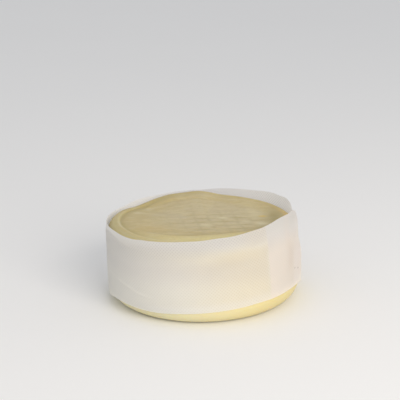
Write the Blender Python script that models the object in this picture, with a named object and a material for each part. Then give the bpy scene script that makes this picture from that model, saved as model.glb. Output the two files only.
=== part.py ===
"""A small soft cheese wheel held in a wound band of white cloth.

The wheel stands on its flat underside, whose centre is the origin. The band is one strip that is wound
a little more than once round the wheel, so that its two ends overlap at the front right. Metres, +Z up.
"""
import math

import bmesh
import bpy

# The wheel
CHEESE_RADIUS = 0.0554
CONTACT_RADIUS = 0.0445
LOWER_BULGE_HEIGHT = 0.0115
SIDE_TOP = 0.0355
SIDE_HEIGHTS = (0.020, 0.028, 0.032, SIDE_TOP)
CREST_RADIUS = 0.0515
GROOVE_WALL = 0.0010
GROOVE_REACH = 0.0030
CROWN_HEIGHT = 0.0449
CROWN_DROP = 0.0003
IMPRINT_DEPTH = 0.0006
IMPRINT_SLOPE = 0.0012
CHEESE_SEGMENTS = 96

# Height of the wheel's upper crest by compass angle: 0 is +X and 90 is +Y, the back
CREST_KEYS = (
    (0, 0.0435), (25, 0.0436), (50, 0.0442), (66, 0.0446), (78, 0.0452), (86, 0.0466), (93, 0.0473),
    (104, 0.0468), (114, 0.0465), (124, 0.0453), (132, 0.0442), (141, 0.0436), (150, 0.0444), (162, 0.0449),
    (185, 0.0450), (225, 0.0452), (270, 0.0452), (315, 0.0442), (360, 0.0435),
)

# Radius and depth of the groove inside the crest by compass angle: it shows round the left only
GROOVE_KEYS = (
    (0, 0.0465), (110, 0.0485), (160, 0.0486), (170, 0.0483), (180, 0.0476), (197, 0.0460), (208, 0.0453),
    (219, 0.0449), (235, 0.0445), (360, 0.0465),
)
GROOVE_DEPTH_KEYS = (
    (0, 0.0), (112, 0.0), (140, 0.0005), (160, 0.0008), (205, 0.0009), (228, 0.0004), (250, 0.0), (360, 0.0),
)

# How far the wheel's shoulder, and the cloth on it, draws in by compass angle: a little at the right
PULL_KEYS = ((-53, 0.0), (-30, 0.0006), (-5, 0.0011), (12, 0.0010), (26, 0.0005), (42, 0.0))
PULL_FROM = 0.0285

# Radius of the sunken patch by compass angle
IMPRINT_KEYS = (
    (0, 0.0400), (40, 0.0385), (75, 0.0385), (110, 0.0400), (150, 0.0425), (180, 0.0430), (200, 0.0410),
    (217, 0.0368), (242, 0.0329), (267, 0.0300), (283, 0.0293), (301, 0.0295), (318, 0.0317), (335, 0.0355),
    (360, 0.0400),
)

# The band
CLOTH_THICKNESS = 0.0004
CLEARANCE = 0.0003
STRIP_START_TOP = -53.7
STRIP_START_BOTTOM = -49.6
STRIP_COLUMNS = 110
STEP_OUT_FROM = 297.0
STEP_OUT_TO = 306.0
FREE_FROM = 336.0
LEAN_FROM = 0.0400
ROW_SHARES = (0.0, 0.03, 0.07, 0.12, 0.25, 0.45, 0.65, 0.78, 0.84, 0.89, 0.945, 1.0)

# Winding angle of the strip's free end by share of its width, from its lower edge up
END_KEYS = (
    (0.0, 345.5), (0.38, 345.5), (0.50, 343.5), (0.62, 340.3), (0.75, 339.0), (0.85, 338.8), (0.93, 337.0),
    (1.0, 335.2),
)

# Heights of the strip's two edges by winding angle, from its inner end to its free end
TOP_EDGE_KEYS = (
    (-54, 0.0475), (0, 0.0466), (8, 0.0468), (12, 0.0475), (16, 0.0484), (20, 0.0490), (24, 0.0495),
    (28, 0.0495), (32, 0.0492), (40, 0.0494), (47, 0.0491), (56, 0.0485), (65, 0.0482), (73, 0.0480),
    (81, 0.0476), (88, 0.0470), (96, 0.0468), (108, 0.0466), (116, 0.0462), (129, 0.0461), (139, 0.0458),
    (145, 0.0452), (152, 0.0450), (160, 0.0453), (170, 0.0457), (195, 0.0463), (208, 0.0466), (216, 0.0462),
    (224, 0.0462), (228, 0.0464), (233, 0.0470), (240, 0.0474), (247, 0.0479), (254, 0.0484), (261, 0.0490),
    (268, 0.0494), (277, 0.0504), (286, 0.0509), (294, 0.0519), (302, 0.0530), (310, 0.0545), (315, 0.0556),
    (320, 0.0561), (326, 0.0562), (330, 0.0569), (335.5, 0.0555),
)
BOTTOM_EDGE_KEYS = (
    (-54, 0.0121), (-40, 0.0125), (-26, 0.0127), (-14, 0.0123), (0, 0.0107), (60, 0.0065), (120, 0.0055),
    (180, 0.0043), (188, 0.0044), (196, 0.0052), (204, 0.0067), (212, 0.0071), (220, 0.0070), (234, 0.0066),
    (244, 0.0068), (250, 0.0073), (260, 0.0080), (270, 0.0086), (280, 0.0093), (294, 0.0102), (304, 0.0111),
    (312, 0.0113), (320, 0.0116), (327, 0.0119), (334, 0.0118), (345.5, 0.0115),
)

# By winding angle: how far the strip's upper margin leans in, and how closely its lower one hugs the wheel
LEAN_KEYS = (
    (-54, 0.0), (-30, 0.0004), (-10, 0.0017), (8, 0.0020), (16, 0.0010), (24, 0.0004), (32, 0.0002),
    (44, 0.0), (110, 0.0), (150, 0.0004), (180, 0.0006), (215, 0.0007), (240, 0.0002), (250, 0.0), (346, 0.0),
)
HUG_KEYS = ((-54, 0.3), (60, 0.5), (150, 0.3), (190, 0.15), (215, 0.3), (235, 0.9), (300, 1.0), (346, 0.6))


def ease(value, start, stop):
    """Rises smoothly from 0 at start to 1 at stop."""
    share = min(max((value - start) / (stop - start), 0.0), 1.0)
    return share * share * (3.0 - 2.0 * share)


def through_keys(keys, angle):
    """A smooth curve through (angle, value) keys, level at both of its ends."""
    if angle <= keys[0][0]:
        return keys[0][1]
    if angle >= keys[-1][0]:
        return keys[-1][1]
    right = next(i for i, key in enumerate(keys) if key[0] > angle)
    (x0, y0), (x1, y1) = keys[right - 1], keys[right]
    slopes = []
    for i in (right - 1, right):
        if 0 < i < len(keys) - 1:
            slopes.append((keys[i + 1][1] - keys[i - 1][1]) / (keys[i + 1][0] - keys[i - 1][0]))
        else:
            slopes.append(0.0)
    t = (angle - x0) / (x1 - x0)
    reach = x1 - x0
    return (
        (2 * t**3 - 3 * t**2 + 1) * y0
        + (t**3 - 2 * t**2 + t) * reach * slopes[0]
        + (3 * t**2 - 2 * t**3) * y1
        + (t**3 - t**2) * reach * slopes[1]
    )


def crest_height(angle, radius):
    """Height of the top by compass angle, which evens out towards the middle."""
    around = through_keys(CREST_KEYS, angle)
    return CROWN_HEIGHT + (around - CROWN_HEIGHT) * ease(radius, 0.0, CREST_RADIUS)


def shoulder_pull(angle, height):
    """How far the shoulder draws in, by an angle from the right (at most half a turn for the wheel)."""
    return through_keys(PULL_KEYS, angle) * ease(height, PULL_FROM, SIDE_TOP)


def wheel_column(angle):
    """(radius, height) points of the wheel's skin at a compass angle, from below to near its middle."""
    from_right = angle - 360.0 if angle > 180.0 else angle
    points = []
    for step in range(8):
        turn = math.pi / 2 * step / 7
        radius = CONTACT_RADIUS + (CHEESE_RADIUS - CONTACT_RADIUS) * math.sin(turn)
        points.append((radius, LOWER_BULGE_HEIGHT * (1 - math.cos(turn))))
    for height in SIDE_HEIGHTS:
        points.append((CHEESE_RADIUS - shoulder_pull(from_right, height), height))
    for step in range(1, 7):
        turn = math.pi / 2 * step / 6
        radius = CREST_RADIUS + (CHEESE_RADIUS - CREST_RADIUS) * math.cos(turn)
        height = SIDE_TOP + (crest_height(angle, CREST_RADIUS) - SIDE_TOP) * math.sin(turn)
        points.append((radius - shoulder_pull(from_right, height), height))
    groove = through_keys(GROOVE_KEYS, angle)
    depth = through_keys(GROOVE_DEPTH_KEYS, angle)
    patch = through_keys(IMPRINT_KEYS, angle)
    drops = [
        (groove + GROOVE_WALL, CROWN_DROP * 0.3),
        (groove, CROWN_DROP + depth),
        (groove - GROOVE_REACH, CROWN_DROP + depth * 0.4),
        (patch + IMPRINT_SLOPE, CROWN_DROP),
    ]
    for share in (1.0, 0.75, 0.5, 0.25):
        drops.append((patch * share, CROWN_DROP + IMPRINT_DEPTH))
    for radius, drop in drops:
        points.append((radius, crest_height(angle, radius) - drop))
    return points


def make_cheese():
    """The wheel: columns of points bridged round, from a flat underside up to the middle of its top."""
    mesh = bpy.data.meshes.new("cheese")
    bm = bmesh.new()
    columns = []
    for i in range(CHEESE_SEGMENTS):
        angle = 360.0 * i / CHEESE_SEGMENTS
        turn = math.radians(angle)
        columns.append([
            bm.verts.new((radius * math.cos(turn), radius * math.sin(turn), height))
            for radius, height in wheel_column(angle)
        ])
    middle = sum(column[-1].co.z for column in columns) / CHEESE_SEGMENTS
    centre = bm.verts.new((0.0, 0.0, middle))
    for left, right in zip(columns, columns[1:] + columns[:1]):
        for row in range(len(left) - 1):
            bm.faces.new((left[row], right[row], right[row + 1], left[row + 1]))
        bm.faces.new((left[-1], right[-1], centre))
    bm.faces.new([column[0] for column in reversed(columns)])
    bmesh.ops.recalc_face_normals(bm, faces=bm.faces)
    bm.to_mesh(mesh)
    bm.free()
    mesh.shade_smooth()
    cheese = bpy.data.objects.new("cheese", mesh)
    bpy.context.scene.collection.objects.link(cheese)
    return cheese


def bulge_gap(height):
    """How far the wheel's side draws in at a height, below where it stands upright."""
    share = min(max(height / LOWER_BULGE_HEIGHT, 0.0), 1.0)
    return (CHEESE_RADIUS - CONTACT_RADIUS) * (1.0 - math.sqrt(1.0 - (1.0 - share) ** 2))


def strip_point(along, up):
    """A point in the middle of the cloth, by its shares along the strip and up its width."""
    start = STRIP_START_BOTTOM + (STRIP_START_TOP - STRIP_START_BOTTOM) * up
    angle = start + (through_keys(END_KEYS, up) - start) * along
    low = through_keys(BOTTOM_EDGE_KEYS, angle)
    high = through_keys(TOP_EDGE_KEYS, angle)
    height = low + (high - low) * up
    radius = CHEESE_RADIUS + CLEARANCE + CLOTH_THICKNESS / 2
    radius += (CLOTH_THICKNESS + CLEARANCE) * ease(angle, STEP_OUT_FROM, STEP_OUT_TO)
    if angle > FREE_FROM:
        radius /= math.cos(math.radians(angle - FREE_FROM))
    radius -= shoulder_pull(angle, height)
    radius -= through_keys(HUG_KEYS, angle) * bulge_gap(height)
    radius -= through_keys(LEAN_KEYS, angle) * ease(height, LEAN_FROM, high)
    turn = math.radians(angle)
    return (radius * math.cos(turn), radius * math.sin(turn), height)


def make_band():
    """The cloth strip: one curved sheet, thickened evenly to both sides."""
    mesh = bpy.data.meshes.new("cloth_band")
    bm = bmesh.new()
    grid = []
    for column in range(STRIP_COLUMNS + 1):
        along = column / STRIP_COLUMNS
        grid.append([bm.verts.new(strip_point(along, up)) for up in ROW_SHARES])
    for left, right in zip(grid, grid[1:]):
        for row in range(len(ROW_SHARES) - 1):
            bm.faces.new((left[row], right[row], right[row + 1], left[row + 1]))
    bm.to_mesh(mesh)
    bm.free()
    mesh.shade_smooth()
    band = bpy.data.objects.new("cloth_band", mesh)
    bpy.context.scene.collection.objects.link(band)
    thicken = band.modifiers.new("thickness", "SOLIDIFY")
    thicken.thickness = CLOTH_THICKNESS
    thicken.offset = 0.0
    thicken.use_even_offset = True
    return band


def give_material(obj, name, color, roughness):
    """A plain finish for one sub-part."""
    material = bpy.data.materials.new(name)
    material.use_nodes = True
    shader = material.node_tree.nodes["Principled BSDF"]
    shader.inputs["Base Color"].default_value = (*color, 1.0)
    shader.inputs["Roughness"].default_value = roughness
    shader.inputs["Metallic"].default_value = 0.0
    obj.data.materials.append(material)


def main():
    for obj in list(bpy.data.objects):
        bpy.data.objects.remove(obj)
    give_material(make_cheese(), "cheese_skin", (0.62, 0.53, 0.30), 0.45)
    give_material(make_band(), "cloth", (0.80, 0.77, 0.72), 0.9)


main()
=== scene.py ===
"""The looks of a small soft cheese wheel in a wound band of white cloth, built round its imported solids.

Both solids are replaced by finer meshes in the same place. Metres, +Z up, the camera looks along +Y.
"""

import math

import bpy
import numpy as np
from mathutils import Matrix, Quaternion, Vector


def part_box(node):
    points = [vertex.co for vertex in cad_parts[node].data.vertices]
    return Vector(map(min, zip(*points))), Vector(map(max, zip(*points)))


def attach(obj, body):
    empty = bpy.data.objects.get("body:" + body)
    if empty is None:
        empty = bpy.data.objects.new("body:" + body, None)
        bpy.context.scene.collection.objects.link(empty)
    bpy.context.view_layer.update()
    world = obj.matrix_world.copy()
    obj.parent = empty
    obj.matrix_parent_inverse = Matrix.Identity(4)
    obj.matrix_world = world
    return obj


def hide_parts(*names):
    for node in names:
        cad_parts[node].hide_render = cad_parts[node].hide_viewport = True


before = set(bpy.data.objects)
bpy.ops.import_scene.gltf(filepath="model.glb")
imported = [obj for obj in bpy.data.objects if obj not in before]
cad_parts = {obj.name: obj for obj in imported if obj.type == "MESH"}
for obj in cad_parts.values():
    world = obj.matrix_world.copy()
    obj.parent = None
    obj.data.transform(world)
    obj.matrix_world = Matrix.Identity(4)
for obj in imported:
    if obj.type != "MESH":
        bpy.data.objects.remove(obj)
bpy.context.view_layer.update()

# The camera that fits the photograph, which is square
CAMERA_DISTANCE = 0.62
CAMERA_ELEVATION = 20.8
CAMERA_ROLL = math.radians(-1.28)
CAMERA_AIM = (-0.0013, 0.0, 0.0560)
FOCAL_LENGTH_PIXELS = 1050.0
PICTURE_PIXELS = 400.0
SENSOR_WIDTH = 36.0

# The studio
FLOOR_REACH = 3.0
LIGHT_AIM_HEIGHT = 0.03
WORLD_COLOR = (0.98, 0.985, 1.0, 1.0)
WORLD_STRENGTH = 0.65

# The wheel
CHEESE_LOW, CHEESE_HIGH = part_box("cheese")
CHEESE_RADIUS = (CHEESE_HIGH[0] - CHEESE_LOW[0]) / 2
CONTACT_RADIUS = 0.0445
LOWER_BULGE_HEIGHT = 0.0115
SIDE_TOP = 0.0355
CREST_RADIUS = 0.0515
GROOVE_WALL = 0.0009
GROOVE_REACH = 0.0032
CROWN_HEIGHT = 0.0449
CROWN_DROP = 0.0003
CROWN_FROM = 0.0480
IMPRINT_DEPTH = 0.0006
BULGE_RINGS = 15
SIDE_RINGS = 12
SHOULDER_RINGS = 17
CHEESE_SEGMENTS = 420
TOP_RING_STEP = 0.00055

# Height of the wheel's upper crest by compass angle: 0 is +X and 90 is +Y, the back
CREST_KEYS = (
    (0, 0.0435), (25, 0.0436), (50, 0.0442), (66, 0.0446), (78, 0.0452), (86, 0.0466), (93, 0.0473),
    (104, 0.0468), (114, 0.0465), (124, 0.0453), (132, 0.0442), (141, 0.0436), (150, 0.0444), (162, 0.0449),
    (185, 0.0450), (225, 0.0452), (270, 0.0452), (315, 0.0442), (360, 0.0435),
)

# Radius and depth of the groove inside the crest by compass angle: it shows round the left only, and the
# painted shade at its foot is full from a least depth on
GROOVE_FULL_DEPTH = 0.0008
GROOVE_KEYS = (
    (0, 0.0465), (110, 0.0485), (160, 0.0486), (170, 0.0483), (180, 0.0476), (197, 0.0460), (208, 0.0453),
    (219, 0.0449), (235, 0.0445), (360, 0.0465),
)
GROOVE_DEPTH_KEYS = (
    (0, 0.0), (112, 0.0), (140, 0.0005), (160, 0.0008), (205, 0.0009), (228, 0.0004), (250, 0.0), (360, 0.0),
)

# How far the wheel's shoulder, and the cloth on it, draws in by compass angle: a little at the right.
# It starts from a height on the side and from a radius on the top
PULL_KEYS = ((-53, 0.0), (-30, 0.0006), (-5, 0.0011), (12, 0.0010), (26, 0.0005), (42, 0.0))
PULL_FROM = 0.0285
PULL_RADIUS = 0.0300

# The sunken patch that the net marked: its edge is steep at the front and softer elsewhere, and it is
# shallower at the left. Radius of its edge by compass angle
IMPRINT_SLOPE = 0.0012
IMPRINT_SOFTER = 4.0
IMPRINT_FRONT = (270.0, 62.0)
IMPRINT_LEFT = (-0.044, -0.022)
IMPRINT_LEFT_SHARE = 0.35
IMPRINT_KEYS = (
    (0, 0.0400), (40, 0.0385), (75, 0.0385), (110, 0.0400), (150, 0.0425), (180, 0.0430), (200, 0.0410),
    (217, 0.0368), (242, 0.0329), (267, 0.0300), (283, 0.0293), (301, 0.0295), (318, 0.0317), (335, 0.0355),
    (360, 0.0400),
)

# The net that the cheese drained on, pressed into its top: most round a middle, and patchily
NET_CELL = (0.0078, 0.0071)
NET_SHIFT = (0.0045, -0.0043)
NET_TURN = math.radians(-8.0)
NET_LINE = 0.0011
NET_DEPTH = 0.00018
NET_WEIGHT = (0.65, 1.00)
NET_MIDDLE = (0.010, -0.007)
NET_OVAL = 1.2
NET_RADII = (0.014, 0.030)
NET_LEAST = 0.25
NET_PATCHES = 0.25

# Where the skin's zones lie. Heights and radii are the two ends of a soft step, parts are the middle
# and reach of a window of compass angles, and places are a middle and a reach in x and y.
# The skin is pale and smooth low on the side, and sunnier towards the light at the front right
LOW_SKIN_HEIGHTS = (0.0200, 0.0300)
TOP_SKIN_HEIGHTS = (0.0340, 0.0400)
SUNNY_FROM = (-115.0, -35.0)
SUNNY_TO = (20.0, 90.0)

# The top is greyest in its middle, less so towards the front (in y) and the left (in x)
GREY_MIDDLE = (0.004, 0.008)
GREY_RADII = (0.016, 0.047)
GREY_FRONT = (-0.012, -0.028)
GREY_FRONT_PART = (270.0, 60.0)
GREY_FRONT_LOSS = 0.85
GREY_EDGE_PART = (268.0, 60.0)
GREY_EDGE_REACH = 0.001
GREY_LEFT = (-0.018, -0.040)
GREY_LEFT_LOSS = 0.4
GREY_GAP_PLACE = (0.030, 0.038, 0.012, 0.009)
GREY_GAP_LOSS = 0.5

# A fresh yellow crescent outside the sunken patch at the front, with a dark line of painted shade at its
# inner edge, where the patch steps down
FRESH_PART = (276.0, 64.0)
FRESH_INSIDE = 0.0004
FRESH_OUTSIDE = 0.0008
FRESH_REACH = 0.0080
FRESH_LEAST = 0.55
LINE_INSIDE = 0.0004
LINE_REACH = 0.0014
LINE_PARTS = ((1.0, 256.0, 20.0), (0.6, 285.0, 16.0), (0.3, 318.0, 22.0))

# The rim: a dark streak of painted shade, olive skin with painted shade of the groove in it and sallow skin
# at the left and back, warm skin at the right, a painted highlight on the lip outside the groove, and one
# orange spot
STREAK_REACH = 0.0009
STREAK_PART = (135.0, 15.0)
OLIVE_RADII = (0.0430, 0.0485)
OLIVE_PARTS = ((1.0, 124.0, 30.0), (0.75, 190.0, 34.0))
SALLOW_RADII = (0.0475, 0.0500)
SALLOW_PART = (195.0, 40.0)
WARM_RADII = (0.0476, 0.0494)
WARM_HEIGHTS = (0.0300, 0.0400)
WARM_PART = (11.0, 15.0)
WARM_SHARE = 0.35
WARM_PLACES = ((-0.028, -0.015, 0.010, 0.006), (0.017, -0.0265, 0.009, 0.0025))
LIP_REACH = 0.0009
LIP_PART = (190.0, 26.0)
SPOT_PLACE = (0.0349, 0.0088, 0.00208, 0.0013)

# Paler patches on the top: strength, then middle and reach in x and y
PALE_CELLS = (
    (1.0, 0.0018, -0.0098, 0.0034, 0.0018), (1.1, 0.0335, -0.0058, 0.0045, 0.0032),
    (0.8, -0.0380, 0.0170, 0.0030, 0.0022), (0.5, -0.0320, 0.0270, 0.0030, 0.0026),
    (0.9, 0.0245, -0.0020, 0.0032, 0.0020), (1.0, 0.0120, 0.0045, 0.0030, 0.0020),
    (0.5, 0.0310, 0.0135, 0.0070, 0.0080),
)

# Painted shade on the skin at the right, and the band's painted shadow in a strip along it at the front
# right: its middle and direction, how it ends away from the band, and its length
SHADE_PLACE = (0.0425, 0.006, 0.0062, 0.020)
STRIP_SHADE_MIDDLE = (0.0350, -0.0115)
STRIP_SHADE_TURN = math.radians(32.5)
STRIP_SHADE_WIDTH = (-0.0010, 0.0045)
STRIP_SHADE_LENGTH = 0.010
STRIP_SHADE_SHARE = 0.50

# Radius of the dark streak of painted shade on the rim at the back left, by compass angle
STREAK_KEYS = ((112, 0.0502), (123, 0.0490), (135, 0.0466), (147, 0.0456), (158, 0.0462))

# The skin's darker and paler zones, some painted shade and one a painted highlight: attribute, strength and
# colour
SKIN_ZONES = (
    ("shade_line", 0.85, (0.390, 0.285, 0.085)),
    ("olive_and_shade", 0.80, (0.475, 0.385, 0.160)),
    ("sallow", 0.55, (0.470, 0.415, 0.200)),
    ("shade", 0.85, (0.360, 0.285, 0.108)),
    ("groove", 0.80, (0.425, 0.345, 0.140)),
    ("lip_highlight", 0.55, (0.660, 0.590, 0.340)),
    ("warm", 0.60, (0.660, 0.470, 0.165)),
    ("pale", 0.55, (0.760, 0.680, 0.440)),
    ("spot", 1.00, (0.660, 0.475, 0.100)),
)

# The band: one strip, wound once round the wheel with its ends lapped
CLOTH_THICKNESS = 0.0004
CLEARANCE = 0.0003
STRIP_START_TOP = -53.7
STRIP_START_BOTTOM = -49.6
STRIP_START = -50.0
STRIP_END = 343.0
STEP_OUT_FROM = 297.0
STEP_OUT_TO = 306.0
FREE_FROM = 336.0
LEAN_FROM = 0.0400

# Shares of the strip's length where its columns turn to follow its cut end, and where its teeth start
END_SHARE = 0.15
TEETH_FROM = 0.992

# Winding angle of the strip's free end by share of its width, from its lower edge up
END_KEYS = (
    (0.0, 345.5), (0.38, 345.5), (0.50, 343.5), (0.62, 340.3), (0.75, 339.0), (0.85, 338.8), (0.93, 337.0),
    (1.0, 335.2),
)

# Heights of the strip's two edges by winding angle, from its inner end to its free end
TOP_EDGE_KEYS = (
    (-54, 0.0475), (0, 0.0466), (8, 0.0468), (12, 0.0475), (16, 0.0484), (20, 0.0490), (24, 0.0495),
    (28, 0.0495), (32, 0.0492), (40, 0.0494), (47, 0.0491), (56, 0.0485), (65, 0.0482), (73, 0.0480),
    (81, 0.0476), (88, 0.0470), (96, 0.0468), (108, 0.0466), (116, 0.0462), (129, 0.0461), (139, 0.0458),
    (145, 0.0452), (152, 0.0450), (160, 0.0453), (170, 0.0457), (195, 0.0463), (208, 0.0466), (216, 0.0462),
    (224, 0.0462), (228, 0.0464), (233, 0.0470), (240, 0.0474), (247, 0.0479), (254, 0.0484), (261, 0.0490),
    (268, 0.0494), (277, 0.0504), (286, 0.0509), (294, 0.0519), (302, 0.0530), (310, 0.0545), (315, 0.0556),
    (320, 0.0561), (326, 0.0562), (330, 0.0569), (335.5, 0.0555),
)
BOTTOM_EDGE_KEYS = (
    (-54, 0.0121), (-40, 0.0125), (-26, 0.0127), (-14, 0.0123), (0, 0.0107), (60, 0.0065), (120, 0.0055),
    (180, 0.0043), (188, 0.0044), (196, 0.0052), (204, 0.0067), (212, 0.0071), (220, 0.0070), (234, 0.0066),
    (244, 0.0068), (250, 0.0073), (260, 0.0080), (270, 0.0086), (280, 0.0093), (294, 0.0102), (304, 0.0111),
    (312, 0.0113), (320, 0.0116), (327, 0.0119), (334, 0.0118), (345.5, 0.0115),
)

# By winding angle: how far the strip's upper margin leans in, and how closely its lower one hugs the wheel
LEAN_KEYS = (
    (-54, 0.0), (-30, 0.0004), (-10, 0.0017), (8, 0.0020), (16, 0.0010), (24, 0.0004), (32, 0.0002),
    (44, 0.0), (110, 0.0), (150, 0.0004), (180, 0.0006), (215, 0.0007), (240, 0.0002), (250, 0.0), (346, 0.0),
)
HUG_KEYS = ((-54, 0.3), (60, 0.5), (150, 0.3), (190, 0.15), (215, 0.3), (235, 0.9), (300, 1.0), (346, 0.6))

# Winding angle of the strip's inner end, which shows through the lap, by height
LAP_KEYS = ((0.0148, 310.1), (0.0294, 309.3), (0.0428, 307.9), (0.0538, 306.3))

# Two soft creases that curve over the cloth at the left: height and strength by winding angle
UPPER_CREASE_KEYS = (
    (186, 0.0424), (192, 0.0434), (199, 0.0440), (205, 0.0438), (213, 0.0426), (222, 0.0411), (233, 0.0410),
)
UPPER_CREASE_STRENGTH = ((172, 0.0), (186, 0.5), (192, 1.0), (216, 1.0), (228, 0.45), (240, 0.0))
LOWER_CREASE_KEYS = (
    (190, 0.0205), (203, 0.0209), (212, 0.0200), (219, 0.0185), (226, 0.0172), (232, 0.0159), (240, 0.0153),
)
LOWER_CREASE_STRENGTH = ((190, 0.0), (203, 0.6), (214, 1.0), (232, 1.0), (240, 0.2), (248, 0.0))
UPPER_CREASE_STEP = 0.00018
UPPER_CREASE_REACH = 0.0006
UPPER_CREASE_BELOW = 0.0003
LOWER_CREASE_STEP = 0.00015
LOWER_CREASE_REACH = 0.0008

# The upright fold near the strip's free end, as winding angles by height
FOLD_KEYS = ((0.0180, 327.0), (0.0270, 328.4), (0.0350, 328.2), (0.0410, 326.0), (0.0500, 323.6))
FOLD_DEPTH = 0.00015
FOLD_REACH = 3.2
FOLD_HEIGHTS = (0.0170, 0.0260)
FOLD_SHADE_HEIGHTS = (0.0170, 0.0290)
FOLD_SHADE_LOSS_ON_MARGIN = 0.4

# Two specks on the cloth, as winding angle and height, and the length of one degree round the cloth
SPECKS = ((334.4, 0.0224), (339.7, 0.0207))
SPECK_RADIUS = 0.00042
DEGREE_LENGTH = 0.00098

# Where the cloth's zones lie. Turns are the two ends of a soft step of winding angles, steps are some
# of them with their shares, and parts are the middle and reach of a window of winding angles. Drops
# are measured down from the upper edge, and rises up from the lower edge or from a crease.
# The margin along the upper edge stands clear of the wheel, so it is thin, greyer and crisp
LAP_BLUR = 0.4
MARGIN_WIDTH = 0.0140
MARGIN_FULL = 0.0020
MARGIN_NARROWER = 0.0030
MARGIN_NARROWER_TURNS = (265.0, 295.0)
MARGIN_WIDER_ON_LAP = 0.0020
THIN_STEPS = ((0.65, 150.0, 230.0), (0.35, 230.0, 275.0))
THIN_LAP_SHARE = 0.8
THIN_LAP_DROPS = (0.0200, 0.0060)

# The hem along the lower edge is drier and lets less light through
HEM_RISES = (0.0025, 0.0060)
HEM_SHEER_STEPS = ((0.20, 225.0, 245.0), (-0.06, 280.0, 305.0))
HEM_DRY = (0.85, 0.25)
HEM_DRY_TURNS = (240.0, 290.0)

# The belt under the margin is a little darker, most of all beside the lap
BELT_SHARE = 0.50
BELT_DROPS = (0.0200, 0.0110)
BELT_TURNS = (266.0, 288.0)
LAP_BELT_SHARE = 0.90
LAP_BELT_DROPS = (0.0120, 0.0070)
LAP_BELT_PART = (301.0, 12.0)

# The cloth is smoother above the upper crease, with painted light on it, and below the lower one, which ends
# in a ridge with a painted highlight
SMOOTH_RISES = (-0.0001, 0.0003)
BELOW_RISES = (-0.0004, 0.0002)
RIDGE_SHARE = 0.8
RIDGE_REACH = 0.0005

# It is moist and shows the cheese through where it touches the wheel; that cream is painted strongest at the
# front right as painted warm light from that side, and its dots are crispest there
CONTACT_LEAST = 0.05
CONTACT_TURNS = (254.0, 294.0)
CONTACT_LOSS_ON_LAP = 0.6
CONTACT_LOSS_BELOW = 0.6
CRISP_LEAST = 0.60
CRISP_TURNS = (215.0, 300.0)
CRISP_ON_MARGIN = (0.90, 1.15)
CRISP_MARGIN_SHARE = 0.35
CRISP_MARGIN_PART = (240.0, 25.0)
CRISP_INSIDE_SHARE = 0.7
CRISP_LOSS_SMOOTH = 0.6
CRISP_LOSS_BELOW = 0.3

# The inside of the back shows above the wheel, lit with painted light, with two stretches of painted shade
INSIDE_TURNS = (190.0, 150.0)
INSIDE_HEIGHTS = (0.0380, 0.0430)
INSIDE_SHADE_PARTS = ((1.0, 84.0, 29.0), (1.0, 176.0, 12.0))

# The free end, the painted light on its flap, and the middle of the front, which lets a little less light
# through
FREE_TURNS = (322.0, 332.0)
FLAP_TURNS = (330.5, 335.5)
FLAP_HEIGHTS = (0.0300, 0.0420)
FLAP_LOSS = 0.7
MIDDLE_FROM = (0.0100, 0.0180)
MIDDLE_TO = (0.0280, 0.0350)
MIDDLE_PART = (262.0, 26.0)
MIDDLE_SHEER = 0.07

# Share of the light that the cloth lets through, by winding angle
SHEER_KEYS = (
    (-54, 0.46), (36, 0.46), (60, 0.51), (90, 0.58), (112, 0.54), (132, 0.45), (150, 0.43), (185, 0.34),
    (225, 0.345), (250, 0.41), (272, 0.47), (300, 0.49), (346, 0.50),
)

# The cloth's darker and paler zones, among them painted light, a painted highlight and painted shade:
# attribute, strength and colour
CLOTH_ZONES = (
    ("belt", 0.70, (0.790, 0.740, 0.660)),
    ("smooth_lit_top", 0.30, (0.970, 0.950, 0.940)),
    ("ridge_highlight", 1.00, (0.990, 0.980, 0.960)),
    ("lit_flap", 0.90, (0.995, 0.950, 0.920)),
    ("fold_shade", 0.30, (0.860, 0.770, 0.690)),
    ("speck", 1.00, (0.300, 0.270, 0.250)),
)

# The cloth's emboss: dots in offset rows, a dot to a cell. The tooth and the lean of the mesh columns are
# in degrees of winding angle, and the dots' colour is fainter on the lap
CELLS_ALONG = 203
CELLS_UP = 22
MESH_PER_CELL = 4
COLUMN_LEAN = 3.2
TOOTH = 1.5
DOT_DEPTH = 0.00006
PILLOW_HEIGHT = 0.00004
DOT_STRENGTH = (0.65, 0.25)


def ease(value, start, stop):
    """Rises smoothly from 0 at start to 1 at stop, for numbers and arrays. Start may be above stop."""
    share = np.clip((value - start) / (stop - start), 0.0, 1.0)
    return share * share * (3.0 - 2.0 * share)


def between(first, second, share):
    """From a first value at a share of 0 to a second one at a share of 1."""
    return first + (second - first) * share


def less(share, amount):
    """A factor of 1 at a share of 0, lower by an amount at a share of 1."""
    return 1.0 - amount * share


def bell(away, reach):
    """A soft bump: 1 where away is 0, almost 0 at twice its reach."""
    return np.exp(-((away / reach) ** 2))


def signed(angle):
    """An angle in degrees, brought between -180 and 180."""
    return (angle + 180.0) % 360.0 - 180.0


def around(azimuth, middle, reach):
    """A soft window of compass angles, 1 in its middle."""
    return bell(signed(azimuth - middle), reach)


def steps(angle, parts):
    """The sum of some weighted soft steps of winding angles."""
    return sum(weight * ease(angle, start, stop) for weight, start, stop in parts)


def strongest(azimuth, parts):
    """The largest of some weighted windows of compass angles."""
    return np.max([weight * around(azimuth, middle, reach) for weight, middle, reach in parts], axis=0)


def hollow(x, y, middle_x, middle_y, reach_x, reach_y):
    """A soft oval, 1 in its middle."""
    return np.exp(-(((x - middle_x) / reach_x) ** 2) - ((y - middle_y) / reach_y) ** 2)


def sway(value, size, radians_per_metre, shift=0.0):
    """A gentle wave of a size along a value in metres."""
    return size * np.sin(value * radians_per_metre + shift)


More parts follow.
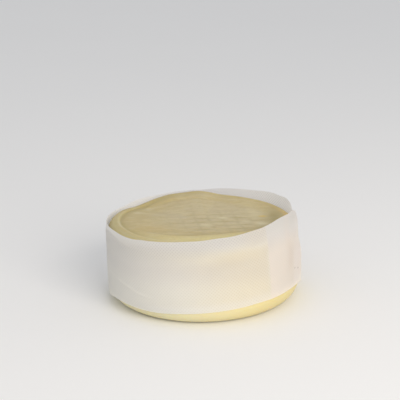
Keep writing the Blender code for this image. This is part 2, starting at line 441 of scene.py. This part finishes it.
def through_keys(keys, angles):
    """A smooth curve through (angle, value) keys at an array of angles, level at both of its ends."""
    x = np.array([key[0] for key in keys], float)
    y = np.array([key[1] for key in keys], float)
    slope = np.zeros(len(x))
    slope[1:-1] = (y[2:] - y[:-2]) / (x[2:] - x[:-2])
    at = np.clip(np.asarray(angles, float), x[0], x[-1])
    left = np.clip(np.searchsorted(x, at, side="right") - 1, 0, len(x) - 2)
    reach = x[left + 1] - x[left]
    t = (at - x[left]) / reach
    return (
        (2 * t**3 - 3 * t**2 + 1) * y[left]
        + (t**3 - 2 * t**2 + t) * reach * slope[left]
        + (3 * t**2 - 2 * t**3) * y[left + 1]
        + (t**3 - t**2) * reach * slope[left + 1]
    )


def grid_faces(columns, rows, closed):
    """Quads of a grid of points stored column by column, joined round if closed.

    Every other quad starts at its second corner, so that their diagonals lean both ways.
    """
    across = np.arange(columns if closed else columns - 1)
    up = np.arange(rows - 1)
    a, b = np.meshgrid(across, up, indexing="ij")
    a, b = a.ravel(), b.ravel()
    c = (a + 1) % columns
    corners = np.stack([a * rows + b, c * rows + b, c * rows + b + 1, a * rows + b + 1], axis=1)
    odd = (a + b) % 2 == 1
    corners[odd] = np.roll(corners[odd], 1, axis=1)
    return corners


def make_mesh(name, points, faces):
    """An object from arrays of points and faces, shaded smooth."""
    mesh = bpy.data.meshes.new(name)
    mesh.from_pydata(points.tolist(), [], [list(face) for face in faces])
    mesh.update()
    mesh.shade_smooth()
    obj = bpy.data.objects.new(name, mesh)
    bpy.context.scene.collection.objects.link(obj)
    return obj


def add_attribute(obj, name, values):
    """One number for each point of the mesh, which the materials read."""
    attribute = obj.data.attributes.new(name, "FLOAT", "POINT")
    attribute.data.foreach_set("value", np.asarray(values, np.float32).ravel())


class Graph:
    """A material's nodes: adds them and joins them."""

    def __init__(self, name):
        self.material = bpy.data.materials.new(name)
        self.material.use_nodes = True
        self.tree = self.material.node_tree
        self.tree.nodes.clear()
        self.output = self.tree.nodes.new("ShaderNodeOutputMaterial")

    def put(self, socket, value):
        """Sets a socket to a number or colour, or joins another socket to it."""
        if isinstance(value, bpy.types.NodeSocket):
            self.tree.links.new(value, socket)
        elif isinstance(value, tuple) and len(value) == 3 and socket.type == "RGBA":
            socket.default_value = (*value, 1.0)
        else:
            socket.default_value = value

    def node(self, kind, **inputs):
        """A node of a kind with its named inputs set."""
        made = self.tree.nodes.new("ShaderNode" + kind)
        for name, value in inputs.items():
            self.put(made.inputs[name.replace("_", " ")], value)
        return made

    def attribute(self, name):
        """A number that the mesh holds for each of its points."""
        made = self.tree.nodes.new("ShaderNodeAttribute")
        made.attribute_name = name
        return made.outputs["Fac"]

    def math(self, operation, first, second=0.0):
        """Two numbers put together by an operation such as MULTIPLY."""
        made = self.tree.nodes.new("ShaderNodeMath")
        made.operation = operation
        self.put(made.inputs[0], first)
        self.put(made.inputs[1], second)
        return made.outputs[0]

    def mix(self, share, first, second):
        """From the first colour to the second by a share."""
        made = self.tree.nodes.new("ShaderNodeMix")
        made.data_type = "RGBA"
        self.put(made.inputs["Factor"], share)
        self.put(made.inputs["A"], first)
        self.put(made.inputs["B"], second)
        return made.outputs["Result"]

    def tint(self, color, zone, strength, paint):
        """The colour, turned towards a paint by a zone's attribute times a strength."""
        return self.mix(self.math("MULTIPLY", self.attribute(zone), strength), color, paint)

    def place(self):
        """The point's place on its object, in metres."""
        return self.tree.nodes.new("ShaderNodeTexCoord").outputs["Object"]

    def noise(self, scale, detail=3.0, stretch=(1.0, 1.0, 1.0)):
        """Soft random spots, about so many to the metre, as numbers round 0.5."""
        mapped = self.node("Mapping", Vector=self.place(), Scale=stretch)
        made = self.node("TexNoise", Vector=mapped.outputs[0], Scale=scale, Detail=detail)
        return made.outputs["Fac"]

    def remap(self, value, low, high, to_low, to_high):
        """A number between two limits, stretched between two others."""
        made = self.node("MapRange", Value=value)
        made.inputs["From Min"].default_value = low
        made.inputs["From Max"].default_value = high
        made.inputs["To Min"].default_value = to_low
        made.inputs["To Max"].default_value = to_high
        return made.outputs[0]

    def bump(self, height, distance, strength, under=None):
        """Fine relief of a depth in metres, on top of other relief if there is any."""
        made = self.node("Bump", Height=height, Strength=strength, Distance=distance)
        if under is not None:
            self.put(made.inputs["Normal"], under)
        return made.outputs[0]


def make_camera():
    """The photograph's view: from the front, a little above."""
    data = bpy.data.cameras.new("camera")
    data.sensor_width = SENSOR_WIDTH
    data.lens = FOCAL_LENGTH_PIXELS / PICTURE_PIXELS * SENSOR_WIDTH
    camera = bpy.data.objects.new("camera", data)
    bpy.context.scene.collection.objects.link(camera)
    lift = math.radians(CAMERA_ELEVATION)
    camera.location = (0.0, -CAMERA_DISTANCE * math.cos(lift), CAMERA_DISTANCE * math.sin(lift))
    look = Vector(CAMERA_AIM) - camera.location
    turn = look.to_track_quat("-Z", "Y") @ Quaternion((0.0, 0.0, 1.0), CAMERA_ROLL)
    camera.rotation_euler = turn.to_euler()
    bpy.context.scene.camera = camera


def add_area_light(name, azimuth, elevation, distance, size, watts, color):
    """A square soft light that faces the wheel's middle."""
    data = bpy.data.lights.new(name, "AREA")
    data.size = size
    data.energy = watts
    data.color = color
    light = bpy.data.objects.new(name, data)
    bpy.context.scene.collection.objects.link(light)
    turn, lift = math.radians(azimuth), math.radians(elevation)
    light.location = (
        distance * math.cos(lift) * math.cos(turn),
        distance * math.cos(lift) * math.sin(turn),
        distance * math.sin(lift) + LIGHT_AIM_HEIGHT,
    )
    light.rotation_euler = (math.pi / 2 - lift, 0.0, turn + math.pi / 2)


def make_studio():
    """A pale floor, even light from all round and a warm soft light from the front right."""
    corners = np.array([(-1, -1, 0), (1, -1, 0), (1, 1, 0), (-1, 1, 0)], float)
    floor = make_mesh("floor", FLOOR_REACH * corners, np.array([(0, 1, 2, 3)]))
    graph = Graph("pale_floor")
    tint = graph.mix(graph.noise(2.0), (0.92, 0.92, 0.92), (0.90, 0.90, 0.90))
    shader = graph.node("BsdfPrincipled", Base_Color=tint, Roughness=0.9)
    shader.inputs["Specular IOR Level"].default_value = 0.1
    graph.put(graph.output.inputs["Surface"], shader.outputs[0])
    floor.data.materials.append(graph.material)
    add_area_light(
        "key", azimuth=-62.0, elevation=25.0, distance=1.1, size=0.7, watts=7.6, color=(1.0, 0.93, 0.84)
    )
    world = bpy.data.worlds.new("studio")
    world.use_nodes = True
    background = world.node_tree.nodes["Background"]
    background.inputs["Color"].default_value = WORLD_COLOR
    background.inputs["Strength"].default_value = WORLD_STRENGTH
    bpy.context.scene.world = world
    bpy.context.scene.view_settings.view_transform = "Standard"


def crest_height(azimuth, radius):
    """Height of the wheel's top by compass angle, which evens out towards the middle."""
    crest = through_keys(CREST_KEYS, azimuth)
    return CROWN_HEIGHT + (crest - CROWN_HEIGHT) * ease(radius, 0.0, CREST_RADIUS)


def net_lines(x, y):
    """How deep the net's threads pressed in, from 0 to 1, on a slightly wavy grid."""
    u = x * math.cos(NET_TURN) - y * math.sin(NET_TURN) - NET_SHIFT[0]
    v = x * math.sin(NET_TURN) + y * math.cos(NET_TURN) - NET_SHIFT[1]
    u = u + sway(v, 0.0006, 95.0, 1.0) + sway(v, 0.0003, 310.0, u * 140.0)
    v = v + sway(u, 0.0005, 80.0) + sway(u, 0.0004, 31.0, 2.0) + sway(u, 0.0003, 370.0, v * 90.0)
    pressed = np.zeros_like(x)
    for along, cell, weight in zip((u, v), NET_CELL, NET_WEIGHT):
        off = np.abs((along / cell + 0.5) % 1.0 - 0.5) * cell
        pressed = np.maximum(pressed, weight * bell(off, NET_LINE))
    away = np.hypot((x - NET_MIDDLE[0]) / NET_OVAL, y - NET_MIDDLE[1])
    patches = sway(x, NET_PATCHES, 330.0, sway(y, 1.7, 210.0)) * sway(y, 1.0, 290.0, 0.6)
    return pressed * between(1.0, NET_LEAST, ease(away, *NET_RADII)) * (1.0 - NET_PATCHES + patches)


def imprint_share(azimuth, radius, x):
    """1 inside the patch that the net marked, 0 outside it, fading towards the left and the back."""
    edge = through_keys(IMPRINT_KEYS, azimuth)
    slope = IMPRINT_SLOPE * between(IMPRINT_SOFTER, 1.0, around(azimuth, *IMPRINT_FRONT))
    inside = 1.0 - ease(radius, edge, edge + slope)
    return inside * between(IMPRINT_LEFT_SHARE, 1.0, ease(x, *IMPRINT_LEFT))


def groove_share(azimuth, radius):
    """1 at the foot of the groove's outer wall, 0 on the rim outside it, fading slowly inwards."""
    foot = through_keys(GROOVE_KEYS, azimuth)
    inwards = np.maximum(foot - radius, 0.0)
    return (1.0 - ease(radius, foot, foot + GROOVE_WALL)) * np.exp(-inwards / GROOVE_REACH)


def shoulder_pull(angle, share):
    """How far the shoulder draws in by an angle from the right, times a share of its reach."""
    return through_keys(PULL_KEYS, angle) * share


def side_profile():
    """(radius, height, share of the crest's height) rings of the wheel's outer side, from floor to crest."""
    rings = []
    for turn in np.linspace(0.0, math.pi / 2, BULGE_RINGS):
        radius = CONTACT_RADIUS + (CHEESE_RADIUS - CONTACT_RADIUS) * math.sin(turn)
        rings.append((radius, LOWER_BULGE_HEIGHT * (1.0 - math.cos(turn)), 0.0))
    for height in np.linspace(LOWER_BULGE_HEIGHT, SIDE_TOP, SIDE_RINGS)[1:]:
        rings.append((CHEESE_RADIUS, height, 0.0))
    for turn in np.linspace(0.0, math.pi / 2, SHOULDER_RINGS)[1:-1]:
        radius = CREST_RADIUS + (CHEESE_RADIUS - CREST_RADIUS) * math.cos(turn)
        rings.append((radius, SIDE_TOP * (1.0 - math.sin(turn)), math.sin(turn)))
    return rings


def wheel_rings():
    """All rings from floor to middle: their radii, heights, shares of the crest's height, and 1 on top."""
    side = [(*ring, 0.0) for ring in side_profile()]
    top = [(radius, 0.0, 1.0, 1.0) for radius in np.arange(CREST_RADIUS, TOP_RING_STEP, -TOP_RING_STEP)]
    return np.array(side + top).T


def skin_zones(x, y, z, ring, compass, top):
    """Shares from 0 to 1 of the skin's zones at every point, which the skin's material reads."""
    upper = ease(z, *TOP_SKIN_HEIGHTS)
    edge = through_keys(IMPRINT_KEYS, compass) + IMPRINT_SLOPE / 2

    grey = 1.0 - ease(np.hypot(x - GREY_MIDDLE[0], y - GREY_MIDDLE[1]), *GREY_RADII)
    grey = grey * less(ease(y, *GREY_FRONT) * around(compass, *GREY_FRONT_PART), GREY_FRONT_LOSS)
    outside = ease(ring, edge - GREY_EDGE_REACH, edge + GREY_EDGE_REACH)
    grey = grey * (1.0 - outside * around(compass, *GREY_EDGE_PART))
    grey = grey * less(hollow(x, y, *GREY_GAP_PLACE), GREY_GAP_LOSS)
    grey = grey * less(ease(x, *GREY_LEFT), GREY_LEFT_LOSS)

    fresh = around(compass, *FRESH_PART) * ease(ring, edge - FRESH_INSIDE, edge + FRESH_OUTSIDE)
    fresh = fresh * between(FRESH_LEAST, 1.0, ease(ring, edge, edge + FRESH_REACH)) * upper

    # Painted shade along the step at the sunken patch's front edge, and along the groove's line at the back
    # left
    front = sum(weight * around(compass, middle, reach) for weight, middle, reach in LINE_PARTS)
    shade_line = bell(ring - edge + LINE_INSIDE, LINE_REACH) * np.minimum(front, 1.0)
    streak_shade = bell(ring - through_keys(STREAK_KEYS, compass), STREAK_REACH) * around(compass, *STREAK_PART)
    # Olive skin on the rim, with painted shade of the groove in it at the back left
    olive_and_shade = ease(ring, *OLIVE_RADII) * upper * strongest(compass, OLIVE_PARTS)
    sallow = ease(ring, *SALLOW_RADII) * around(compass, *SALLOW_PART) * upper

    warm = ease(ring, *WARM_RADII) * ease(z, *WARM_HEIGHTS) * around(compass, *WARM_PART)
    for place in WARM_PLACES:
        warm = np.maximum(warm, WARM_SHARE * hollow(x, y, *place))

    # The band's painted shadow along it at the front right, joined with the painted shade at the right
    right, back = x - STRIP_SHADE_MIDDLE[0], y - STRIP_SHADE_MIDDLE[1]
    along = right * math.cos(STRIP_SHADE_TURN) + back * math.sin(STRIP_SHADE_TURN)
    off = back * math.cos(STRIP_SHADE_TURN) - right * math.sin(STRIP_SHADE_TURN)
    band_shadow = (1.0 - ease(off, *STRIP_SHADE_WIDTH)) * bell(along, STRIP_SHADE_LENGTH)
    shade = np.maximum(hollow(x, y, *SHADE_PLACE), STRIP_SHADE_SHARE * band_shadow) * upper

    from_right = signed(compass)
    rim = ring - through_keys(GROOVE_KEYS, compass) - GROOVE_WALL
    return {
        "top": top,
        "low": 1.0 - ease(z, *LOW_SKIN_HEIGHTS),
        "sunny": ease(from_right, *SUNNY_FROM) * (1.0 - ease(from_right, *SUNNY_TO)),
        "grey": grey * top,
        "fresh": fresh,
        "shade_line": np.maximum(shade_line, streak_shade) * top,
        "olive_and_shade": olive_and_shade,
        "sallow": sallow,
        "warm": warm,
        "shade": shade,
        # A painted highlight on the lip outside the groove
        "lip_highlight": bell(rim, LIP_REACH) * around(compass, *LIP_PART) * top,
        "pale": sum(weight * hollow(x, y, *place) for weight, *place in PALE_CELLS) * top,
        "spot": hollow(x, y, *SPOT_PLACE) * top,
    }


def make_cheese():
    """The wheel as one closed mesh, with its ring groove, its sunken patch and the net's lines on top."""
    radii, base, crest_share, top = wheel_rings()
    rows = len(radii)
    azimuth = np.arange(CHEESE_SEGMENTS) * 360.0 / CHEESE_SEGMENTS
    compass, radius = np.meshgrid(azimuth, radii, indexing="ij")
    height = base + crest_share * crest_height(compass, radius)
    reach = np.where(top > 0.5, ease(radius, PULL_RADIUS, CREST_RADIUS), 1.0)
    from_right = signed(compass)
    ring = radius - shoulder_pull(from_right, ease(height, PULL_FROM, SIDE_TOP) * reach)
    x = ring * np.cos(np.radians(compass))
    y = ring * np.sin(np.radians(compass))

    groove = groove_share(compass, ring) * top
    groove_depth = through_keys(GROOVE_DEPTH_KEYS, compass)
    crown = CROWN_DROP * (1.0 - ease(ring, CROWN_FROM, CREST_RADIUS))
    imprint = imprint_share(compass, ring, x) * top
    net = net_lines(x, y) * imprint
    relief = groove * groove_depth + crown + imprint * IMPRINT_DEPTH + net * NET_DEPTH
    z = height - relief * top

    points = np.stack([x, y, z], axis=-1).reshape(-1, 3)
    faces = grid_faces(CHEESE_SEGMENTS, rows, True).tolist()
    top_centre = len(points)
    foot_centre = top_centre + 1
    points = np.vstack([points, [0.0, 0.0, z[:, -1].mean()], [0.0, 0.0, 0.0]])
    for i in range(CHEESE_SEGMENTS):
        j = (i + 1) % CHEESE_SEGMENTS
        faces.append((i * rows + rows - 1, j * rows + rows - 1, top_centre))
        faces.append((j * rows, i * rows, foot_centre))
    cheese = make_mesh("cheese_wheel", points, faces)

    zones = skin_zones(x, y, z, ring, compass, top)
    zones["imprint"] = imprint
    zones["net"] = net
    # Painted shade at the foot of the groove's wall
    zones["groove"] = groove * np.clip(groove_depth / GROOVE_FULL_DEPTH, 0.0, 1.0)
    at_centres = [0.0, 0.0]
    for name, values in zones.items():
        add_attribute(cheese, name, np.append(np.broadcast_to(values, z.shape), at_centres))
    cheese.data.materials.append(skin_material())
    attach(cheese, "root")
    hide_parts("cheese")


def skin_material():
    """Smooth yellow skin, browner and finely ribbed where the net and the draining cloth marked it."""
    graph = Graph("cheese_skin")
    color = graph.mix(graph.noise(45.0, detail=4.0), (0.585, 0.470, 0.217), (0.530, 0.420, 0.187))
    grey = graph.mix(graph.noise(90.0, detail=5.0), (0.615, 0.520, 0.315), (0.555, 0.460, 0.260))
    color = graph.mix(graph.attribute("grey"), color, grey)
    color = graph.mix(graph.attribute("fresh"), color, (0.745, 0.635, 0.280))
    color = graph.mix(graph.attribute("net"), color, (0.455, 0.375, 0.185))
    grain = graph.remap(graph.noise(780.0, detail=4.0, stretch=(0.6, 1.0, 1.0)), 0.38, 0.62, 0.0, 0.22)
    color = graph.tint(color, "top", grain, (0.40, 0.325, 0.155))
    streaks = graph.remap(graph.noise(330.0, stretch=(0.35, 1.0, 1.0)), 0.45, 0.65, 0.0, 0.30)
    color = graph.tint(color, "top", streaks, (0.69, 0.595, 0.355))
    for zone in SKIN_ZONES:
        color = graph.tint(color, *zone)
    pale = graph.mix(graph.attribute("sunny"), (0.80, 0.74, 0.470), (0.73, 0.620, 0.295))
    pale = graph.mix(graph.math("MULTIPLY", graph.noise(60.0), 0.25), pale, (0.70, 0.60, 0.32))
    color = graph.mix(graph.attribute("low"), color, pale)
    ribs = graph.noise(900.0, detail=2.0, stretch=(0.25, 1.0, 1.0))
    ribs = graph.math("MULTIPLY", ribs, graph.attribute("imprint"))
    pores = graph.bump(graph.noise(1400.0), distance=0.00015, strength=0.25)
    normal = graph.bump(ribs, distance=0.0005, strength=0.5, under=pores)
    roughness = graph.remap(graph.noise(120.0), 0.3, 0.7, 0.38, 0.55)
    shader = graph.node("BsdfPrincipled", Base_Color=color, Roughness=roughness, Normal=normal)
    shader.inputs["Subsurface Weight"].default_value = 0.25
    shader.inputs["Subsurface Radius"].default_value = (1.0, 0.7, 0.3)
    shader.inputs["Subsurface Scale"].default_value = 0.003
    graph.put(graph.output.inputs["Surface"], shader.outputs[0])
    return graph.material


def bulge_gap(height):
    """How far the wheel's side draws in at a height, below where it stands upright."""
    share = np.clip(height / LOWER_BULGE_HEIGHT, 0.0, 1.0)
    return (CHEESE_RADIUS - CONTACT_RADIUS) * (1.0 - np.sqrt(1.0 - (1.0 - share) ** 2))


def crease(keys, strengths, angle, height):
    """A crease's strength at a winding angle, and how far a place on the cloth lies above it."""
    return through_keys(strengths, angle), height - through_keys(keys, angle)


def fold_share(angle, height):
    """1 along the upright fold near the free end, 0 away from it."""
    return bell(angle - through_keys(FOLD_KEYS, height), FOLD_REACH) * ease(height, *FOLD_HEIGHTS)


def strip_surface(along, up):
    """Winding angles, radii and heights of the cloth's middle, by shares along and up the strip."""
    lean = COLUMN_LEAN * (0.5 - up)
    start = STRIP_START_BOTTOM + (STRIP_START_TOP - STRIP_START_BOTTOM) * up
    start = start + (STRIP_START + lean - start) * ease(along, 0.0, END_SHARE)
    end = STRIP_END + lean
    end = end + (through_keys(END_KEYS, up) - end) * ease(along, 1.0 - END_SHARE, 1.0)
    tooth = np.abs((up * CELLS_UP) % 1.0 - 0.5) * 2.0
    angle = start + (end - start) * along + TOOTH * (tooth - 0.5) * ease(along, TEETH_FROM, 1.0)
    low = through_keys(BOTTOM_EDGE_KEYS, angle)
    high = through_keys(TOP_EDGE_KEYS, angle)
    height = low + (high - low) * up

    radius = CHEESE_RADIUS + CLEARANCE + CLOTH_THICKNESS / 2
    radius = radius + (CLOTH_THICKNESS + CLEARANCE) * ease(angle, STEP_OUT_FROM, STEP_OUT_TO)
    radius = radius / np.cos(np.radians(np.maximum(angle - FREE_FROM, 0.0)))
    radius = radius - shoulder_pull(angle, ease(height, PULL_FROM, SIDE_TOP))
    radius = radius - through_keys(HUG_KEYS, angle) * bulge_gap(height)
    radius = radius - through_keys(LEAN_KEYS, angle) * ease(height, LEAN_FROM, high)

    strength, above = crease(UPPER_CREASE_KEYS, UPPER_CREASE_STRENGTH, angle, height)
    radius = radius - UPPER_CREASE_STEP * strength * bell(above + UPPER_CREASE_BELOW, UPPER_CREASE_REACH)
    strength, above = crease(LOWER_CREASE_KEYS, LOWER_CREASE_STRENGTH, angle, height)
    radius = radius + LOWER_CREASE_STEP * strength * bell(above, LOWER_CREASE_REACH)
    return angle, radius - FOLD_DEPTH * fold_share(angle, height), height


def cloth_zones(angle, height, dent):
    """Shares from 0 to 1 of the cloth's zones at every point, which the cloth's material reads."""
    drop = through_keys(TOP_EDGE_KEYS, angle) - height
    rise = height - through_keys(BOTTOM_EDGE_KEYS, angle)
    inner_end = through_keys(LAP_KEYS, height)
    lap = ease(angle, inner_end - LAP_BLUR, inner_end + LAP_BLUR)
    narrower = MARGIN_NARROWER * ease(angle, *MARGIN_NARROWER_TURNS) * (1.0 - lap)
    margin = ease(drop, MARGIN_WIDTH - narrower + MARGIN_WIDER_ON_LAP * lap, MARGIN_FULL)
    hem = 1.0 - ease(rise, *HEM_RISES)
    inside = ease(angle, *INSIDE_TURNS) * ease(height, *INSIDE_HEIGHTS)

    strength, above = crease(UPPER_CREASE_KEYS, UPPER_CREASE_STRENGTH, angle, height)
    # Painted light on the smoother cloth above the upper crease
    smooth_lit_top = strength * ease(above, *SMOOTH_RISES)
    strength, above = crease(LOWER_CREASE_KEYS, LOWER_CREASE_STRENGTH, angle, height)
    below = strength * (1.0 - ease(above, *BELOW_RISES))
    # A painted highlight along the ridge of the lower crease
    ridge_highlight = RIDGE_SHARE * strength * bell(above, RIDGE_REACH)

    belt = BELT_SHARE * ease(drop, *BELT_DROPS) * (1.0 - margin) * ease(angle, *BELT_TURNS)
    lap_belt = LAP_BELT_SHARE * ease(drop, *LAP_BELT_DROPS) * around(angle, *LAP_BELT_PART)

    dry_hem = hem * between(*HEM_DRY, ease(angle, *HEM_DRY_TURNS))
    contact = (1.0 - margin) * (1.0 - dry_hem) * less(lap, CONTACT_LOSS_ON_LAP)
    contact = contact * less(below, CONTACT_LOSS_BELOW)
    # Painted warm light: the creamy tint grows towards the light at the front right
    contact = contact * between(CONTACT_LEAST, 1.0, ease(angle, *CONTACT_TURNS))

    crisp = between(CRISP_LEAST, 1.0, ease(angle, *CRISP_TURNS))
    crisp = crisp + CRISP_MARGIN_SHARE * margin * around(angle, *CRISP_MARGIN_PART)
    crisp = crisp * less(smooth_lit_top, CRISP_LOSS_SMOOTH) * less(below, CRISP_LOSS_BELOW)
    crisp = crisp * between(*CRISP_ON_MARGIN, margin) + CRISP_INSIDE_SHARE * inside

    thin = margin * steps(angle, THIN_STEPS)
    thin_lap = THIN_LAP_SHARE * lap * ease(drop, *THIN_LAP_DROPS)
    specks = sum(
        hollow(DEGREE_LENGTH * angle, height, DEGREE_LENGTH * at, up, SPECK_RADIUS, SPECK_RADIUS)
        for at, up in SPECKS
    )

    # Painted shade along the upright fold
    fold_shade = fold_share(angle, height) * ease(height, *FOLD_SHADE_HEIGHTS)
    fold_shade = fold_shade * less(margin, FOLD_SHADE_LOSS_ON_MARGIN)
    dense_hem = hem * steps(angle, HEM_SHEER_STEPS)
    middle = ease(height, *MIDDLE_FROM) * (1.0 - ease(height, *MIDDLE_TO)) * around(angle, *MIDDLE_PART)
    return {
        "dot": dent * crisp,
        "lap": lap,
        "inside": inside,
        "smooth_lit_top": smooth_lit_top,
        "ridge_highlight": ridge_highlight,
        "belt": np.maximum(belt, lap_belt) * (1.0 - lap),
        "contact": contact,
        "thin": np.maximum(thin, thin_lap),
        "inside_shade": strongest(angle, INSIDE_SHADE_PARTS),
        "fold_shade": fold_shade,
        # Painted light on the free end's flap, less of it higher up
        "lit_flap": ease(angle, *FLAP_TURNS) * less(ease(height, *FLAP_HEIGHTS), FLAP_LOSS),
        "free": ease(angle, *FREE_TURNS),
        "speck": specks,
        "sheer": through_keys(SHEER_KEYS, angle) * (1.0 - dense_hem) * less(middle, MIDDLE_SHEER),
    }


def make_band():
    """The cloth strip as one sheet, with its embossed dots as dents and the cushions between them."""
    columns = CELLS_ALONG * MESH_PER_CELL + 1
    rows = CELLS_UP * MESH_PER_CELL + 1
    i, j = np.meshgrid(np.arange(columns), np.arange(rows), indexing="ij")
    angle, radius, height = strip_surface(i / (columns - 1), j / (rows - 1))
    cell_turn = 2.0 * math.pi / MESH_PER_CELL
    emboss = np.cos(cell_turn * i) * np.cos(cell_turn * j)
    dent = np.maximum(emboss, 0.0)
    radius = radius - dent * DOT_DEPTH + np.maximum(-emboss, 0.0) * PILLOW_HEIGHT
    turn = np.radians(angle)
    points = np.stack([radius * np.cos(turn), radius * np.sin(turn), height], axis=-1).reshape(-1, 3)
    band = make_mesh("cloth_strip", points, grid_faces(columns, rows, False))
    for name, values in cloth_zones(angle, height, dent).items():
        add_attribute(band, name, values)
    band.data.materials.append(cloth_material())
    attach(band, "root")
    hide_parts("cloth_band")


def cloth_material():
    """Thin white bonded cloth, creamier where it lies on the moist cheese, with painted warm light making
    that cream strongest at the front right.
    """
    graph = Graph("cloth")
    thin = graph.attribute("thin")
    damp_and_lit = graph.remap(graph.noise(70.0, detail=4.0), 0.3, 0.7, 0.75, 1.0)
    damp_and_lit = graph.math("MULTIPLY", graph.attribute("contact"), damp_and_lit)
    color = graph.mix(damp_and_lit, (0.92, 0.915, 0.90), (0.925, 0.90, 0.835))
    color = graph.tint(color, "lap", 0.8, (0.95, 0.89, 0.835))
    color = graph.mix(thin, color, (0.78, 0.765, 0.75))
    # Painted light on the inside of the back, and painted shade on two stretches of it
    lining_light_and_shade = graph.mix(graph.attribute("inside_shade"), (1.0, 0.99, 0.98), (0.80, 0.79, 0.81))
    color = graph.tint(color, "inside", 0.6, lining_light_and_shade)
    for zone in CLOTH_ZONES:
        color = graph.tint(color, *zone)
    dots = graph.mix(damp_and_lit, (0.74, 0.72, 0.72), (0.75, 0.68, 0.57))
    dots = graph.mix(thin, dots, (0.60, 0.57, 0.58))
    dots = graph.mix(graph.attribute("inside"), dots, (0.40, 0.385, 0.40))
    on_lap = graph.math("SUBTRACT", graph.attribute("lap"), graph.attribute("free"))
    color = graph.tint(color, "dot", graph.remap(on_lap, 0.0, 1.0, *DOT_STRENGTH), dots)
    normal = graph.bump(graph.noise(2500.0), distance=0.0001, strength=0.3)
    shader = graph.node("BsdfPrincipled", Base_Color=color, Roughness=0.85, Normal=normal)
    shader.inputs["Specular IOR Level"].default_value = 0.25
    shader.inputs["Sheen Weight"].default_value = 0.1
    through = graph.node("BsdfTranslucent", Color=color)
    mixed = graph.node("MixShader", Fac=graph.attribute("sheer"))
    graph.put(mixed.inputs[1], shader.outputs[0])
    graph.put(mixed.inputs[2], through.outputs[0])
    graph.put(graph.output.inputs["Surface"], mixed.outputs[0])
    return graph.material


make_camera()
make_studio()
make_cheese()
make_band()
